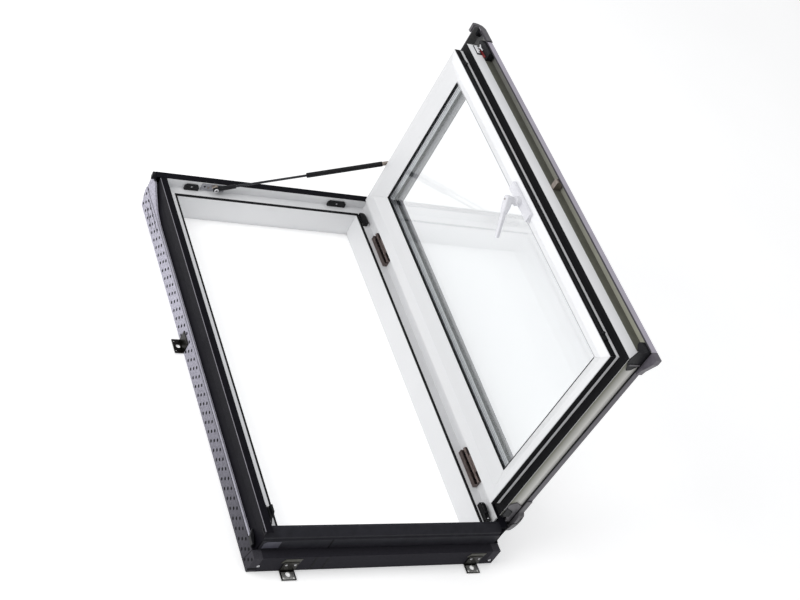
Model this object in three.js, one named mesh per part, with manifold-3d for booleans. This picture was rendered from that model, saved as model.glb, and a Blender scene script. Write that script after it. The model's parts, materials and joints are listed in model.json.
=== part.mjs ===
// Side-hung roof window: a white PVC frame with black cladding and foam insulation round it,
// and a glazed sash that swings on two concealed hinges, held by a gas strut at the head.
// Units are millimetres. The frame lies flat, room side down on Z = 0:
// +X towards the hinges, +Y up the roof slope, +Z out of the roof.
// The origin is on the room-side face of the sill, half way between the jambs.
// The sash is drawn closed and then turned about its hinges to stand open at a right angle.
import * as THREE from 'three';
import { mergeVertices } from 'three/addons/utils/BufferGeometryUtils.js';
import Module from 'manifold-3d';

const wasm = await Module();
wasm.setup();

// Driving dimensions
const OPENING_WIDTH = 586;
const OPENING_HEIGHT = 1078;
const SILL_REF = 24.5; // sill face centre to the lower edge of the opening
const FRAME_SIDE = 37; // opening edge to the outer side of the frame profile
const SILL_SIDE = 65; // the same at the sill
const REVEAL_BOTTOM = 22; // lower edge of the visible reveal
const LINING_GROOVE = 12;
const GASKET_SEAT = 94;
const REBATE_FLOOR = 98;
const REBATE = 32; // opening edge to the rebate wall
const WALL_TOP = 126;
const FOAM_TOP = 56;
const FOAM_SIDE = 61;
const FOAM_HEAD = 67;
const FOAM_SILL = 95;
const SHEET = 1.8; // cladding thickness
const GAP = 0.3; // between touching pieces

// Outward distances of each side of the sash from the opening edge: the outer edge of the
// inner step, the inner edge of its flat face, the glass sight line, the flange, the cladding
const SASH = {
  free: { edge: 11, face: -17, bead: -43, flange: 36, cladding: 64.5 },
  top: { edge: 11, face: -8, bead: -57, flange: 13.5, cladding: 64.5 },
  bottom: { edge: 11, face: -9, bead: -33, flange: 36, cladding: 39.5 },
  hinge: { edge: -6, face: -44, bead: -87, flange: 13, cladding: 64.5 },
};
const SASH_FACE = 101; // room-side face of the closed sash
const FLANGE_UNDER = 131;
const SASH_BACK = 165;
const BEAD_Z = 113; // where the bevel meets the glass bead
const GLASS_COVER = 0.4; // share of the bevel that has glass behind it
const INNER_PANE = [118, 122];
const OUTER_PANE = [138, 144];
const CLAD_TOP = 193;
const LIP_BOTTOM = 176;
const HOOD_BOTTOM = 162; // the top lip hangs lower, as a hood

const HINGE_AXIS = { x: OPENING_WIDTH / 2 + 26.5, z: 119.5 };
const HINGE_Y = { upper: 948, lower: 157 };
const HINGE_LENGTH = 112;
const KNUCKLE_RADIUS = 5;
const PIN_RADIUS = 2.2;

const HANDLE = { x: -OPENING_WIDTH / 2 + 17, y: 547 }; // spindle on the closed sash
const HANDLE_REST = 27; // degrees the lever hangs below level
const HANDLE_PLATE = 91; // room-side face of the base plate
const BOSS_END = 79;
const LEVER_REACH = 101;
const HUB_RADIUS = 12;
const LEVER_Z = [46, 66]; // hub of the lever, in front of the closed sash

const STRUT_Y = OPENING_HEIGHT + SILL_REF + 21.5;
const STRUT_FRAME = { x: -174, z: 116 };
const STRUT_SASH = { x: 139, z: 115 }; // on the closed sash
const ROD_RADIUS = 3.5;
const CYLINDER_RADIUS = 7.5;
const SOCKET_LENGTH = 58;
const BALL_RADIUS = 4.5;

// Derived places
const HALF = OPENING_WIDTH / 2;
const Y0 = SILL_REF;
const Y1 = SILL_REF + OPENING_HEIGHT;

// Finishes
const finish = (color, roughness, metalness = 0) => ({ color, roughness, metalness });
const PVC = finish(0xf1f1f3, 0.35);
const CLADDING = finish(0x26262c, 0.5, 0.4);
const SASH_ALUMINIUM = finish(0xa9a6b2, 0.4, 0.5);
const FOAM = finish(0x3b3a40, 0.9);
const RUBBER = finish(0x111113, 0.8);
const ZINC = finish(0x9c9890, 0.4, 0.9);
const STEEL = finish(0xc8cacd, 0.3, 0.9);
const BLACK_PLASTIC = finish(0x1b1b1e, 0.55);
const GLASS = finish(0xe9edf0, 0.05);
const HANDLE_WHITE = finish(0xf3f3f4, 0.3, 0.1);
const SATIN_BLACK = finish(0x18181a, 0.4, 0.3);

const model = new THREE.Group();
const sash = new THREE.Group();

function add(parent, name, geometry, look) {
  geometry.computeVertexNormals();
  const mesh = new THREE.Mesh(geometry, new THREE.MeshStandardMaterial(look));
  mesh.name = name;
  parent.add(mesh);
  return mesh;
}

// Turns the faces outward when a mapping has mirrored the solid
function faceOutward(geometry) {
  const flat = geometry.index ? geometry.toNonIndexed() : geometry;
  const place = flat.attributes.position;
  const a = new THREE.Vector3();
  const b = new THREE.Vector3();
  const c = new THREE.Vector3();
  let volume = 0;
  for (let i = 0; i < place.count; i += 3) {
    a.fromBufferAttribute(place, i);
    b.fromBufferAttribute(place, i + 1);
    c.fromBufferAttribute(place, i + 2);
    volume += a.dot(b.cross(c));
  }
  if (volume < 0) {
    for (let i = 0; i < place.count; i += 3) {
      b.fromBufferAttribute(place, i + 1);
      c.fromBufferAttribute(place, i + 2);
      place.setXYZ(i + 1, c.x, c.y, c.z);
      place.setXYZ(i + 2, b.x, b.y, b.z);
    }
  }
  return flat;
}

function shapeOf(points) {
  return new THREE.Shape(points.map(([x, y]) => new THREE.Vector2(x, y)));
}

// Extrudes an outline along Z over the length [from, to]
function slab(points, from, to, holes = []) {
  const shape = shapeOf(points);
  for (const hole of holes) shape.holes.push(hole);
  const options = { depth: to - from, bevelEnabled: false, curveSegments: 8 };
  const geometry = new THREE.ExtrudeGeometry(shape, options);
  return geometry.translate(0, 0, from);
}

function box(x, y, z) {
  const geometry = new THREE.BoxGeometry(x[1] - x[0], y[1] - y[0], z[1] - z[0]);
  return geometry.translate((x[0] + x[1]) / 2, (y[0] + y[1]) / 2, (z[0] + z[1]) / 2);
}

function ringHole(radius, x, y) {
  const hole = new THREE.Path();
  hole.absarc(x, y, radius, 0, Math.PI * 2, true);
  return hole;
}

// A bar of the given profile along one side of the opening. A profile point is
// [outward distance from the opening edge, height]; an end with no place of its own is mitred.
function sideBar(profile, side, ends = null) {
  const geometry = new THREE.ExtrudeGeometry(shapeOf(profile), { depth: 1, bevelEnabled: false });
  const place = geometry.attributes.position;
  for (let i = 0; i < place.count; i += 1) {
    const out = place.getX(i);
    const height = place.getY(i);
    const far = place.getZ(i) > 0.5;
    if (side === 'left' || side === 'right') {
      const mitre = far ? Y1 + out - GAP / 2 : Y0 - out + GAP / 2;
      const y = ends?.[far ? 1 : 0] ?? mitre;
      place.setXYZ(i, (side === 'left' ? -1 : 1) * (HALF + out), y, height);
    } else {
      const mitre = (far ? 1 : -1) * (HALF + out - GAP / 2);
      const x = ends?.[far ? 1 : 0] ?? mitre;
      place.setXYZ(i, x, side === 'head' ? Y1 + out : Y0 - out, height);
    }
  }
  return faceOutward(geometry);
}

// The outline of a bent sheet: a path thickened to both sides with mitred bends
function sheetOutline(path, thickness = SHEET) {
  const half = thickness / 2;
  const near = [];
  const far = [];
  path.forEach(([x, y], i) => {
    const before = path[Math.max(i - 1, 0)];
    const after = path[Math.min(i + 1, path.length - 1)];
    const u = new THREE.Vector2(x - before[0], y - before[1]);
    const v = new THREE.Vector2(after[0] - x, after[1] - y);
    if (u.length() === 0) u.copy(v);
    if (v.length() === 0) v.copy(u);
    u.normalize();
    v.normalize();
    const bend = new THREE.Vector2(-u.y - v.y, u.x + v.x).normalize();
    const reach = half / Math.max(bend.dot(new THREE.Vector2(-u.y, u.x)), 0.3);
    near.push([x + bend.x * reach, y + bend.y * reach]);
    far.unshift([x - bend.x * reach, y - bend.y * reach]);
  });
  return [...near, ...far];
}

// Boolean joins and cuts
function solid(geometry) {
  const bare = geometry.clone();
  bare.deleteAttribute('normal');
  bare.deleteAttribute('uv');
  const merged = mergeVertices(bare, 1e-4);
  return new wasm.Manifold(new wasm.Mesh({
    numProp: 3,
    vertProperties: Float32Array.from(merged.attributes.position.array),
    triVerts: Uint32Array.from(merged.index.array),
  }));
}

function geometryOf(manifold) {
  const mesh = manifold.getMesh();
  const geometry = new THREE.BufferGeometry();
  geometry.setAttribute('position', new THREE.BufferAttribute(Float32Array.from(mesh.vertProperties), 3));
  geometry.setIndex(new THREE.BufferAttribute(Uint32Array.from(mesh.triVerts), 1));
  return geometry.toNonIndexed();
}

function join(first, ...others) {
  return geometryOf(others.reduce((sum, other) => sum.add(solid(other)), solid(first)));
}

function cut(first, ...others) {
  return geometryOf(others.reduce((rest, other) => rest.subtract(solid(other)), solid(first)));
}

// A round bar between two points of one X-Z plane, or along Y
function roundBar(radius, start, end, segments = 20) {
  const from = new THREE.Vector3(...start);
  const to = new THREE.Vector3(...end);
  const along = to.clone().sub(from);
  const geometry = new THREE.CylinderGeometry(radius, radius, along.length(), segments);
  const up = new THREE.Vector3(0, 1, 0);
  const turn = new THREE.Quaternion().setFromUnitVectors(up, along.clone().normalize());
  geometry.applyQuaternion(turn);
  return geometry.translate(...from.add(to).multiplyScalar(0.5).toArray());
}

// ---- Frame profiles ----

const JAMB_PROFILE = [
  [0, REVEAL_BOTTOM], [0, GASKET_SEAT], [5.3, GASKET_SEAT], [5.3, REBATE_FLOOR],
  [REBATE, REBATE_FLOOR], [REBATE, WALL_TOP], [FRAME_SIDE, WALL_TOP], [FRAME_SIDE, 0],
  [LINING_GROOVE, 0], [LINING_GROOVE, REVEAL_BOTTOM],
];
// The sill slopes away under the sash, so that water runs outward
const SILL_PROFILE = [
  [0, REVEAL_BOTTOM], [FRAME_SIDE - 0.5, REBATE_FLOOR], [FRAME_SIDE, REBATE_FLOOR], [FRAME_SIDE, 0],
  [LINING_GROOVE, 0], [LINING_GROOVE, REVEAL_BOTTOM],
];
const SILL_NOSE_PROFILE = [
  [FRAME_SIDE + GAP, 0], [FRAME_SIDE + GAP, REBATE_FLOOR], [46, REBATE_FLOOR], [46, 116], [50, 116],
  [SILL_SIDE, 102.5], [SILL_SIDE, 0],
];

add(model, 'frame_head_profile', sideBar(JAMB_PROFILE, 'head'), PVC);
const jambFoot = [Y0 - FRAME_SIDE, null];
add(model, 'frame_left_jamb', sideBar(JAMB_PROFILE, 'left', jambFoot), PVC);
add(model, 'frame_right_jamb', sideBar(JAMB_PROFILE, 'right', jambFoot), PVC);
const sillEnd = HALF - GAP;
add(model, 'frame_sill_profile', sideBar(SILL_PROFILE, 'sill', [-sillEnd, sillEnd]), PVC);
const noseEnd = HALF + FRAME_SIDE;
add(model, 'sill_nose_profile', sideBar(SILL_NOSE_PROFILE, 'sill', [-noseEnd, noseEnd]), PVC);

// The gasket runs up both jambs and across the head, and ends at the sill
const gasketFoot = Y0 - FRAME_SIDE + 1;
const gasketOuter = 5;
const GASKET_OUTLINE = [
  [-HALF - gasketOuter, gasketFoot], [-HALF - gasketOuter, Y1 + gasketOuter],
  [HALF + gasketOuter, Y1 + gasketOuter], [HALF + gasketOuter, gasketFoot], [HALF + GAP, gasketFoot],
  [HALF + GAP, Y1 + GAP], [-HALF - GAP, Y1 + GAP], [-HALF - GAP, gasketFoot],
];
add(model, 'reveal_gasket', slab(GASKET_OUTLINE, GASKET_SEAT + GAP, 99.2), RUBBER);

// ---- Foam insulation round the frame ----

const foamInner = FRAME_SIDE + GAP;
const foamEnd = HALF + FRAME_SIDE;
const sideFoam = [
  [Y0 - FOAM_SILL, 0], [Y1 + 50, 0], [Y1 + FOAM_HEAD, 40], [Y1 + FOAM_HEAD, FOAM_TOP],
  [Y0 - FOAM_SILL, FOAM_TOP],
];
function sideFoamBlock(sign) {
  const block = slab(sideFoam, 0, FOAM_SIDE - foamInner);
  block.applyMatrix4(new THREE.Matrix4().makeBasis(
    new THREE.Vector3(0, 1, 0), new THREE.Vector3(0, 0, 1), new THREE.Vector3(sign, 0, 0),
  ));
  block.translate(sign * (HALF + foamInner), 0, 0);
  return faceOutward(block);
}
add(model, 'insulation_left', sideFoamBlock(-1), FOAM);
add(model, 'insulation_right', sideFoamBlock(1), FOAM);
const headFoam = [[foamInner, 0], [FOAM_HEAD, 0], [FOAM_HEAD, FOAM_TOP], [foamInner, FOAM_TOP]];
add(model, 'insulation_head', sideBar(headFoam, 'head', [-foamEnd, foamEnd]), FOAM);
const sillFoam = [[SILL_SIDE + GAP, 0], [FOAM_SILL, 0], [FOAM_SILL, FOAM_TOP], [SILL_SIDE + GAP, FOAM_TOP]];
add(model, 'insulation_sill', sideBar(sillFoam, 'sill', [-foamEnd, foamEnd]), FOAM);

// ---- Frame cladding ----

const cladTop = WALL_TOP + GAP + SHEET / 2;
const JAMB_CLADDING = sheetOutline([[33, cladTop], [51.5, cladTop], [49.5, 92], [51.5, 58.2], [60.4, 58.2]]);
const jambCladEnds = [Y0 - 71, Y1 + REBATE];
add(model, 'cladding_left', sideBar(JAMB_CLADDING, 'left', jambCladEnds), CLADDING);
add(model, 'cladding_right', sideBar(JAMB_CLADDING, 'right', jambCladEnds), CLADDING);
const headCladEnds = [-HALF - 60.4, HALF + 60.4];
const HEAD_CLAD_EDGE = 53;
const HEAD_CLADDING = [[REBATE + 1, cladTop], [HEAD_CLAD_EDGE, cladTop], [HEAD_CLAD_EDGE + 3, 57.5]];
const headSheet = sideBar(sheetOutline(HEAD_CLADDING), 'head', headCladEnds);
const headEnd = [
  [38, 57.5], [HEAD_CLAD_EDGE + 3, 57.5], [HEAD_CLAD_EDGE, cladTop], [38, cladTop],
];
const headEndPlates = [-1, 1].map((sign) => {
  const ends = [sign * headCladEnds[1], sign * (headCladEnds[1] - SHEET)].sort((a, b) => a - b);
  return sideBar(headEnd, 'head', ends);
});
add(model, 'cladding_head', join(headSheet, ...headEndPlates), CLADDING);
const SILL_CLADDING = sheetOutline([
  [45.2, 117.6], [51, 117.6], [67.5, 102.7], [67.5, 95], [71, 93], [71, 57.5],
], 1.6);
const sillCladEnd = HALF + 47;
add(model, 'cladding_sill', sideBar(SILL_CLADDING, 'sill', [-sillCladEnd, sillCladEnd]), CLADDING);

// Plastic end pieces that close the sill cladding at the two lower corners
const SILL_END = [[38, 57.5], [69.5, 57.5], [69.5, 91.5], [66, 93.5], [66, 101], [50, 115.4], [38, 115.4]];
const sillEndFrom = HALF + FRAME_SIDE + 0.4;
add(model, 'sill_end_left', sideBar(SILL_END, 'sill', [-sillCladEnd + 0.4, -sillEndFrom]), BLACK_PLASTIC);
add(model, 'sill_end_right', sideBar(SILL_END, 'sill', [sillEndFrom, sillCladEnd - 0.4]), BLACK_PLASTIC);

// ---- Locking parts in the frame rebate ----

const wall = HALF + REBATE - GAP;
const headWall = Y1 + REBATE - GAP;
const keepFloor = REBATE_FLOOR + GAP;
// A striker block with two corners cut off, seen square to the wall that it is screwed to
function strikerOutline(from, to, low, high) {
  const chamfer = 6;
  return [
    [from, low], [to, low], [to, high - chamfer], [to - chamfer, high], [from + chamfer, high],
    [from, high - chamfer],
  ];
}
const STRIKER_DEPTH = 7;
function headStriker(from, to) {
  const block = slab(strikerOutline(from, to, keepFloor, 117), 0, STRIKER_DEPTH);
  return block.rotateX(Math.PI / 2).translate(0, headWall, 0);
}
add(model, 'striker_head_left', headStriker(-266, -223), SATIN_BLACK);
add(model, 'striker_head_right', headStriker(197, 257), SATIN_BLACK);
const jambStriker = strikerOutline(Y1 - 47, Y1 + 1, 299, 317).map(([along, out]) => [out, along]);
add(model, 'striker_jamb_top', faceOutward(slab(jambStriker, keepFloor, 107)), SATIN_BLACK);
add(model, 'lock_keep_left', box([-wall, 8 - wall], [-11, 40], [keepFloor, 115]), SATIN_BLACK);
add(model, 'lock_keep_right', box([302, 316], [-11, 44], [keepFloor, 112]), SATIN_BLACK);

// ---- Fixing brackets: steel angles against the foam ----

const BRACKET_SHEET = 2.5;
function bracketProfile(inner, reach) {
  return [
    [inner, 0], [inner + reach, 0], [inner + reach, BRACKET_SHEET],
    [inner + BRACKET_SHEET, BRACKET_SHEET], [inner + BRACKET_SHEET, 38], [inner, 38],
  ];
}
const BRACKET_HOLES = [[0, 0.45, 6.5], [-0.34, 0.8, 2.4], [0.34, 0.8, 2.4]]; // along, outward, radius
function bracket(side, inner, reach, centre, width) {
  const angle = sideBar(bracketProfile(inner, reach), side, [centre - width / 2, centre + width / 2]);
  const holes = BRACKET_HOLES.map(([sideways, outward, radius]) => {
    const along = centre + sideways * width;
    const out = inner + outward * reach;
    const x = side === 'left' ? -HALF - out : along;
    const y = side === 'left' ? along : Y0 - out;
    return roundBar(radius, [x, y, -5], [x, y, 10], 16);
  });
  return cut(angle, ...holes);
}
add(model, 'fixing_bracket_left', bracket('left', FOAM_SIDE + GAP, 25, 622.5, 46), ZINC);
add(model, 'fixing_bracket_sill_left', bracket('sill', FOAM_SILL + GAP, 28, -247, 40), ZINC);
add(model, 'fixing_bracket_sill_right', bracket('sill', FOAM_SILL + GAP, 28, 287, 40), ZINC);

// ---- Hinges ----

const AXIS = HINGE_AXIS;
const KNUCKLE_GAP = 0.5;
const MIDDLE_KNUCKLE = 55;
const LEAF = 2.2;
const HINGE_BODY = 311; // inner side of the hinge body on the rebate floor
function knuckle(y, from, to) {
  return roundBar(KNUCKLE_RADIUS, [AXIS.x, y + from, AXIS.z], [AXIS.x, y + to, AXIS.z]);
}
function frameLeaf(y) {
  const half = HINGE_LENGTH / 2;
  const plate = box([wall - LEAF, wall], [y - half, y + half], [100, 124]);
  const pin = roundBar(PIN_RADIUS, [AXIS.x, y - half + 1, AXIS.z], [AXIS.x, y + half - 1, AXIS.z], 16);
  const inner = MIDDLE_KNUCKLE / 2 + KNUCKLE_GAP;
  const notch = box([wall - LEAF - 1, wall + 1], [y - inner, y + inner], [AXIS.z - KNUCKLE_RADIUS - 1, 130]);
  const body = box([HINGE_BODY, wall - 1], [y - half, y + half], [keepFloor, AXIS.z - KNUCKLE_RADIUS - 2.5]);
  return join(cut(plate, notch), body, knuckle(y, -half, -inner), knuckle(y, inner, half), pin);
}
function sashLeaf(y) {
  const half = HINGE_LENGTH / 2;
  const face = HALF + SASH.hinge.edge + GAP;
  const reach = MIDDLE_KNUCKLE / 2;
  const plate = box([face, face + LEAF], [y - half, y + half], [104, 128]);
  const web = box([face + 1, AXIS.x - 3], [y - reach, y + reach], [AXIS.z - 2, AXIS.z + 2]);
  const bore = roundBar(PIN_RADIUS + GAP, [AXIS.x, y - 60, AXIS.z], [AXIS.x, y + 60, AXIS.z], 16);
  return cut(join(plate, web, knuckle(y, -reach, reach)), bore);
}
add(model, 'hinge_frame_leaf_upper', frameLeaf(HINGE_Y.upper), ZINC);
add(model, 'hinge_frame_leaf_lower', frameLeaf(HINGE_Y.lower), ZINC);
add(sash, 'hinge_sash_leaf_upper', sashLeaf(HINGE_Y.upper), ZINC);
add(sash, 'hinge_sash_leaf_lower', sashLeaf(HINGE_Y.lower), ZINC);

// ---- Sash, drawn closed ----

// A zone gives two outward distances of a side, inner and outer; points between follow in proportion
function matched(side, out, zone) {
  const free = zone(SASH.free);
  const own = zone(SASH[side]);
  return own[0] + ((out - free[0]) * (own[1] - own[0])) / (free[1] - free[0]);
}
const glassEdge = (side) => side.bead + GLASS_COVER * (side.face - side.bead);
const stepZone = (side) => [side.face, side.edge];
const bevelZone = (side) => [side.bead, side.face];
const outerZone = (side) => [glassEdge(side), side.flange];
const CLADDING_FOOT = 5; // the cladding reaches this far inside the bead
const claddingZone = (side) => [side.bead - CLADDING_FOOT, side.cladding];

// One of the four mitred bars of the sash. A profile point is [outward distance on the free
// side, height], and each side has its own widths.
function sashBar(profile, side, zone) {
  const geometry = new THREE.ExtrudeGeometry(shapeOf(profile), { depth: 1, bevelEnabled: false });
  const place = geometry.attributes.position;
  for (let i = 0; i < place.count; i += 1) {
    const out = place.getX(i);
    const height = place.getY(i);
    const far = place.getZ(i) > 0.5;
    const own = matched(side, out, zone);
    if (side === 'free' || side === 'hinge') {
      const top = Y1 + matched('top', out, zone) - GAP / 2;
      const bottom = Y0 - matched('bottom', out, zone) + GAP / 2;
      place.setXYZ(i, side === 'free' ? -HALF - own : HALF + own, far ? top : bottom, height);
    } else {
      const hinge = HALF + matched('hinge', out, zone) - GAP / 2;
      const free = -HALF - matched('free', out, zone) + GAP / 2;
      place.setXYZ(i, far ? hinge : free, side === 'top' ? Y1 + own : Y0 - own, height);
    }
  }
  return faceOutward(geometry);
}

const GLASS_SEAT = INNER_PANE[0] - GAP;
const { edge: stepEdge, face: faceEdge, bead, flange: flangeEdge } = SASH.free;
const rabbet = glassEdge(SASH.free) + GAP;
const SASH_STEP = [
  [stepEdge, SASH_FACE], [faceEdge, SASH_FACE], [faceEdge, FLANGE_UNDER], [stepEdge, FLANGE_UNDER],
];
const SASH_BEVEL = [
  [faceEdge, SASH_FACE], [bead + 2, BEAD_Z], [bead, BEAD_Z + 1], [bead, GLASS_SEAT],
  [rabbet, GLASS_SEAT], [rabbet, FLANGE_UNDER], [faceEdge, FLANGE_UNDER],
];
const SASH_FLANGE = [
  [rabbet, FLANGE_UNDER], [flangeEdge, FLANGE_UNDER], [flangeEdge, SASH_BACK], [rabbet, SASH_BACK],
];
function sashProfile(side) {
  return join(
    sashBar(SASH_STEP, side, stepZone),
    sashBar(SASH_BEVEL, side, bevelZone),
    sashBar(SASH_FLANGE, side, outerZone),
  );
}
add(sash, 'sash_rail_top', sashProfile('top'), PVC);
add(sash, 'sash_rail_bottom', sashProfile('bottom'), PVC);
add(sash, 'sash_stile_free', sashProfile('free'), PVC);
add(sash, 'sash_stile_hinge', sashProfile('hinge'), PVC);

// A flat loop between two sets of outward distances, each given as a rule for one side
function sashLoop(inner, outer, z) {
  const corners = (rule) => {
    const left = -HALF - rule(SASH.free);
    const right = HALF + rule(SASH.hinge);
    const low = Y0 - rule(SASH.bottom);
    const high = Y1 + rule(SASH.top);
    return [[left, low], [right, low], [right, high], [left, high]];
  };
  const hole = new THREE.Path(corners(inner).reverse().map(([x, y]) => new THREE.Vector2(x, y)));
  return slab(corners(outer), z[0], z[1], [hole]);
}
function pane(z) {
  const x = [-HALF - glassEdge(SASH.free), HALF + glassEdge(SASH.hinge)];
  return box(x, [Y0 - glassEdge(SASH.bottom), Y1 + glassEdge(SASH.top)], z);
}
add(sash, 'glass_inner', pane(INNER_PANE), GLASS);
add(sash, 'glass_outer', pane(OUTER_PANE), GLASS);
const spacerOuter = (side) => side.bead + 7;
const spacerInner = (side) => side.bead - 5;
const cavity = [INNER_PANE[1] + GAP, OUTER_PANE[0] - GAP];
add(sash, 'glass_spacer', sashLoop(spacerInner, spacerOuter, cavity), STEEL);
add(sash, 'glazing_gasket', sashLoop(spacerInner, spacerOuter, [OUTER_PANE[1] + GAP, 148]), RUBBER);
const beadGasketOuter = (side) => side.bead - GAP;
const beadGasketInner = (side) => side.bead - 3;
add(sash, 'bead_gasket', sashLoop(beadGasketInner, beadGasketOuter, [BEAD_Z + 1, GLASS_SEAT]), RUBBER);

// Seals of the sash
const sealOuter = (side) => side.flange - 0.5;
const sealInner = (side) => side.edge + 0.5;
add(sash, 'sash_outer_seal', sashLoop(sealInner, sealOuter, [129, FLANGE_UNDER - GAP]), RUBBER);
const SEAL_Z = [103, 119];
const SEAL = 1.2;
const sealEdge = SASH.free.edge + GAP;
const sealEnds = [-HALF - SASH.free.edge, HALF + SASH.hinge.edge];
add(sash, 'sash_seal_top', box([sealEnds[0], 100], [Y1 + sealEdge, Y1 + sealEdge + SEAL], SEAL_Z), RUBBER);
add(sash, 'sash_seal_bottom', box(sealEnds, [Y0 - sealEdge - SEAL, Y0 - sealEdge], SEAL_Z), RUBBER);
const freeSealX = [-HALF - sealEdge - SEAL, -HALF - sealEdge];
add(sash, 'sash_seal_free', box(freeSealX, [Y0 - SASH.bottom.edge, Y1 + SASH.top.edge], SEAL_Z), RUBBER);

// Carrier between the sash frame and its cladding
const CLAD_UNDER = CLAD_TOP - SHEET;
const carrierOuter = (side) => side.flange - 0.5;
const carrierInner = (side) => side.flange - 6;
const CARRIER = finish(0x4b4b43, 0.6, 0.3);
add(sash, 'sash_carrier', sashLoop(carrierInner, carrierOuter, [SASH_BACK + GAP, CLAD_UNDER - GAP]), CARRIER);

const cladCentre = CLAD_TOP - SHEET / 2;
const CLAD_EDGE = SASH.free.cladding;
const lip = CLAD_EDGE - SHEET / 2;
function sashCladding(side) {
  const lipBottom = side === 'top' ? HOOD_BOTTOM : LIP_BOTTOM;
  const foot = bead - CLADDING_FOOT;
  const path = [[foot, 149.2], [foot + 1, 154], [foot + 26, cladCentre], [lip, cladCentre], [lip, lipBottom]];
  return sashBar(sheetOutline(path), side, claddingZone);
}
for (const side of ['top', 'bottom', 'free', 'hinge']) {
  add(sash, `sash_cladding_${side}`, sashCladding(side), SASH_ALUMINIUM);
}

// Corner pieces: an angle under the hood, and two noses below the bottom lip
const CAP_Z = [177, CLAD_TOP];
const CAP_LEG = 24;
const capEdge = CLAD_EDGE - SHEET - GAP;
const capX = -HALF - capEdge;
const capY = Y1 + capEdge;
const CAP_ANGLE = [
  [capX, capY], [capX, capY - CAP_LEG], [capX + 8, capY - CAP_LEG], [capX + 8, capY - 8],
  [capX + CAP_LEG, capY - 8], [capX + CAP_LEG, capY],
];
add(sash, 'corner_cap_top_free', slab(CAP_ANGLE, CAP_Z[0], CLAD_UNDER - GAP), BLACK_PLASTIC);
const noseTop = Y0 - SASH.bottom.cladding - GAP;
function cornerNose(x, inward) {
  const outline = [[0, 0], [0, -24], [16, -24], [58, -9], [74, -6], [74, 0]];
  const placed = outline.map(([along, down]) => [x + inward * along, noseTop + down]);
  return faceOutward(slab(placed, CAP_Z[0], CAP_Z[1]));
}
add(sash, 'corner_cap_bottom_free', cornerNose(-HALF - CLAD_EDGE, 1), BLACK_PLASTIC);
add(sash, 'corner_cap_bottom_hinge', cornerNose(HALF + CLAD_EDGE, -1), BLACK_PLASTIC);

// Clip in the free-side channel and the corner lock at the top
const channel = [-HALF - capEdge + 1, -HALF - carrierOuter(SASH.free) - GAP];
add(sash, 'channel_clip', box(channel, [547, 562], [SASH_BACK + 1, 186]), ZINC);
add(sash, 'corner_lock', box(channel, [1052, 1100], [SASH_BACK + 1, 184]), BLACK_PLASTIC);

// ---- Handle ----

// The base plate lies on the flat face and follows the bevel of the stile under its inner edge
const PLATE_HALF = 13.5;
const faceX = -HALF - SASH.free.face;
const bevelRise = (BEAD_Z - SASH_FACE) / (faceEdge - bead - 2);
const plateSeat = SASH_FACE - GAP;
const HANDLE_BASE = [
  [HANDLE.x - PLATE_HALF, plateSeat], [HANDLE.x - PLATE_HALF, HANDLE_PLATE + 2],
  [HANDLE.x - PLATE_HALF + 2, HANDLE_PLATE], [HANDLE.x + PLATE_HALF - 2, HANDLE_PLATE],
  [HANDLE.x + PLATE_HALF, HANDLE_PLATE + 2],
  [HANDLE.x + PLATE_HALF, plateSeat + (HANDLE.x + PLATE_HALF - faceX) * bevelRise], [faceX, plateSeat],
];
function alongY(outline, from, to) {
  const bar = slab(outline, 0, to - from);
  bar.rotateX(Math.PI / 2);
  bar.translate(0, to, 0);
  return faceOutward(bar);
}
const basePlate = alongY(HANDLE_BASE, HANDLE.y - 60, HANDLE.y + 60);
const BOSS_RADIUS = 13;
const spindle = (z) => [HANDLE.x, HANDLE.y, z];
const boss = roundBar(BOSS_RADIUS, spindle(BOSS_END), spindle(HANDLE_PLATE + 1), 28);
add(sash, 'handle_base', join(basePlate, boss), HANDLE_WHITE);

// The lever is drawn level along +X from its spindle, then hung at its rest angle
function leverShape() {
  const outline = new THREE.Shape();
  const taper = 8;
  outline.absarc(0, 0, HUB_RADIUS, Math.PI / 2, (Math.PI * 3) / 2, false);
  outline.lineTo(32, -HUB_RADIUS + 1);
  outline.lineTo(44, -taper);
  outline.lineTo(LEVER_REACH - taper, -taper + 1);
  outline.absarc(LEVER_REACH - taper, 0, taper - 1, -Math.PI / 2, Math.PI / 2, false);
  outline.lineTo(44, taper);
  outline.lineTo(32, HUB_RADIUS - 1);
  const bevel = 2.5;
  const options = {
    depth: LEVER_Z[1] - LEVER_Z[0] - 2 * bevel, bevelThickness: bevel, bevelSize: bevel, bevelOffset: -bevel,
    bevelSegments: 2, curveSegments: 10,
  };
  const arm = new THREE.ExtrudeGeometry(outline, options).translate(0, 0, LEVER_Z[0] + bevel);
  const neck = roundBar(HUB_RADIUS - 1.5, [0, 0, LEVER_Z[1] - 4], [0, 0, BOSS_END - GAP], 28);
  return join(arm, neck);
}
const lever = leverShape();
lever.rotateZ((-HANDLE_REST * Math.PI) / 180);
lever.translate(HANDLE.x, HANDLE.y, 0);
add(sash, 'handle_lever', lever, HANDLE_WHITE);

// Drive bar with two roller cams on the free edge of the sash
const barX = -HALF - sealEdge - SEAL - GAP;
const driveBar = box([barX - 2.5, barX], [60, 1066], [105, 117]);
const rollers = [80, 1046].map((y) => roundBar(4, [barX - 8, y, 111], [barX - 1, y, 111], 14));
add(sash, 'drive_bar', join(driveBar, ...rollers), SATIN_BLACK);

// ---- Gas strut, drawn in the open position ----

const strutPlateY = [Y1 + SASH.top.edge + GAP, Y1 + SASH.top.edge + GAP + 2];
const strutPlate = box([STRUT_SASH.x - 28, STRUT_SASH.x + 28], strutPlateY, [105, 127]);
add(sash, 'strut_sash_plate', strutPlate, ZINC);

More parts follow.
